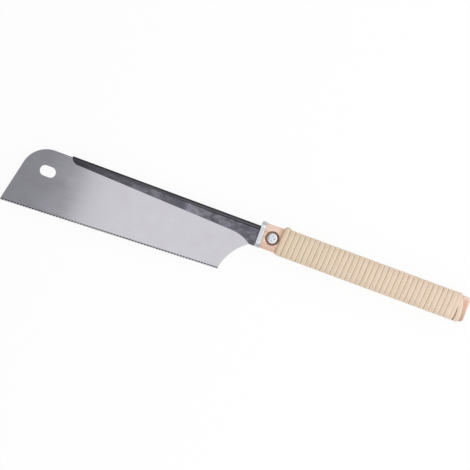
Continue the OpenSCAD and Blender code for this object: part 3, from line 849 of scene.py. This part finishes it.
# %% Screw turned from its profile
def loft(name, rows, finish):
    """A closed piece through rows of points, which are rings of equal length from end to end."""
    ring = len(rows[0])
    points = [point for row in rows for point in row]
    faces = []
    for low in range(0, len(points) - ring, ring):
        for k in range(ring):
            after = (k + 1) % ring
            faces.append((low + k, low + after, low + ring + after, low + ring + k))
    faces.append(tuple(reversed(range(ring))))
    faces.append(tuple(range(len(points) - ring, len(points))))
    mesh = bpy.data.meshes.new(name)
    mesh.from_pydata(points, [], faces)
    return add_object(name, mesh, finish)


angles = [2 * math.pi * k / SEGMENTS for k in range(SEGMENTS)]
rings = []
for i in range(SHANK_ROWS + 1):
    z = -SHANK_L + SHANK_L * i / SHANK_ROWS
    rings.append([(shank_radius(z, a), z) for a in angles])
rings += [[(r, z)] * SEGMENTS for r, z in head]
rows = [[(r * math.cos(a), r * math.sin(a), z) for a, (r, z) in zip(angles, ring)] for ring in rings]
screw = loft("clamp_screw_zinc", rows, bright_zinc)
print("Screw blank has", len(screw.data.polygons), "faces")

# %% Cross recess
ARM, HALF_W = 2.1, 0.5
CUT_ROWS = ((HEAD_H + 0.4, 1.15), (HEAD_H - 1.45, 0.58))  # each row's height, and its size against the cross
arm = [(ARM, -HALF_W), (ARM, HALF_W), (HALF_W, HALF_W)]
cross = [(x * c - y * s, x * s + y * c) for c, s in ((1, 0), (0, 1), (-1, 0), (0, -1)) for x, y in arm]
rows = [[(x * grow, y * grow, z) for x, y in cross] for z, grow in CUT_ROWS]
cutter = loft("cross_cutter", rows, bright_zinc)
tidy_mesh(cutter.data, 20, merge=1e-6)
cut = screw.modifiers.new("cross recess", "BOOLEAN")
cut.operation, cut.object, cut.solver = "DIFFERENCE", cutter, "EXACT"
screw = make_plain(screw)
bpy.data.objects.remove(cutter)
tidy_mesh(screw.data, 32, merge=1e-5)
screw.data.transform(HANDLE_AXES @ Matrix.Translation((SCREW_X, 0, HEAD_Z)))
fit(screw, "screw", "clamp_screw")

# %% Washer and nut
washer = soften("screw_washer", "screw_washer_steel", dark_oxide, 0.12)
fit(washer, "washer", "screw_washer")
nut = soften("clamp_nut", "clamp_nut_zinc", bright_zinc, 0.25)
fit(nut, "handle", "clamp_nut")

# %% [markdown]
# ## Studio
# The saw was photographed on white under one wide softbox. The box hangs over the handle's side, and
# its edge shows in the blade as the change from bright to grey near the tip. The ceiling beyond it
# is darker and a little blue, and the pale walls fill the shadows. The floor shows white to the
# camera and keeps a faint shadow. A picture of a studio could light the saw as well, but a lamp of
# known size lets that edge be worked out.

# %% White floor
FLOOR_HALF = 4  # m
GLOW_SHARE = 0.92  # how much of the floor that is seen shines white; the rest takes the shadow
floor_corners = [(x * FLOOR_HALF, y * FLOOR_HALF, 0) for x, y in ((-1, -1), (1, -1), (1, 1), (-1, 1))]
floor_mesh = bpy.data.meshes.new("studio_floor")
floor_mesh.from_pydata(floor_corners, [], [(0, 1, 2, 3)])
white_floor = bpy.data.materials.new("white_studio_floor")
white_floor.use_nodes = True
tree = white_floor.node_tree
tree.nodes.clear()
ray = add_node(tree, "ShaderNodeLightPath", out="Is Camera Ray")
seen = calculate(tree, "MAXIMUM", ray, ray.node.outputs["Is Glossy Ray"])
seen = calculate(tree, "MAXIMUM", seen, ray.node.outputs["Is Transmission Ray"])
white = calculate(tree, "MULTIPLY", seen, GLOW_SHARE)
matt = add_node(tree, "ShaderNodeBsdfDiffuse", {"Color": (0.9, 0.9, 0.9, 1)})
glow = add_node(tree, "ShaderNodeEmission", {"Color": (1, 1, 1, 1), "Strength": 1})
mixed = add_node(tree, "ShaderNodeMixShader", {0: white, 1: matt, 2: glow})
tree.links.new(mixed, tree.nodes.new("ShaderNodeOutputMaterial").inputs["Surface"])
floor = add_object("studio_floor", floor_mesh, white_floor)
print("Floor", 2 * FLOOR_HALF, "m wide")

# %% Softbox whose edge falls in the blade at the photograph's place
SOFTBOX_UP, SOFTBOX_W, SOFTBOX_L = 0.27, 1.3, 1.3
BRIGHTNESS = 0.6  # of the box's face; a lamp's power is this times pi and its area
EDGE_IN_BLADE = -121.0  # handle x, in mm, where the blade turns from bright to grey
edge_point = HANDLE_AXES @ Vector((EDGE_IN_BLADE, 0, 0))
edge_y = VIEW_CENTRE.y + (edge_point.y - VIEW_CENTRE.y) * (1 + SOFTBOX_UP / CAMERA_HEIGHT)
softbox = bpy.data.lights.new("softbox", "AREA")
softbox.shape = "RECTANGLE"
softbox.size, softbox.size_y = SOFTBOX_W, SOFTBOX_L
softbox.energy = BRIGHTNESS * math.pi * SOFTBOX_W * SOFTBOX_L
softbox_object = bpy.data.objects.new("softbox", softbox)
softbox_object.location = (VIEW_CENTRE.x, edge_y - SOFTBOX_L / 2, VIEW_CENTRE.z + SOFTBOX_UP)
softbox_object.visible_camera = False
scene.collection.objects.link(softbox_object)
print("Softbox edge at y =", round(edge_y, 3))

# %% Pale walls and a darker ceiling
WALL_AT_HANDLE, WALL_AT_TIP, CEILING = 1.0, 0.45, 0.38
WALL_TOP, CEILING_FROM = 0.8, 0.95  # height of a look, from 0 for level to 1 for straight up
world = bpy.data.worlds.new("studio_room")
world.use_nodes = True
scene.world = world
tree = world.node_tree
tree.nodes.clear()
look = add_node(tree, "ShaderNodeTexCoord", out="Generated")
up = add_node(tree, "ShaderNodeSeparateXYZ", {0: look}, out="Z")
walls = ramp(tree, up.node.outputs["Y"], -0.8, 0.8, WALL_AT_HANDLE, WALL_AT_TIP)
room = ramp(tree, up, WALL_TOP, CEILING_FROM, walls, CEILING, smooth=True)
tint = add_node(tree, "ShaderNodeMapRange", {
    "Vector": up, 7: (WALL_TOP,) * 3, 8: (CEILING_FROM,) * 3, 9: (1, 1, 1), 10: (0.91, 0.94, 1)},
    out="Vector", data_type="FLOAT_VECTOR")
light = add_node(tree, "ShaderNodeBackground", {"Color": tint, "Strength": room})
tree.links.new(light, tree.nodes.new("ShaderNodeOutputWorld").inputs["Surface"])
print(world.name, "has", len(tree.nodes), "nodes")
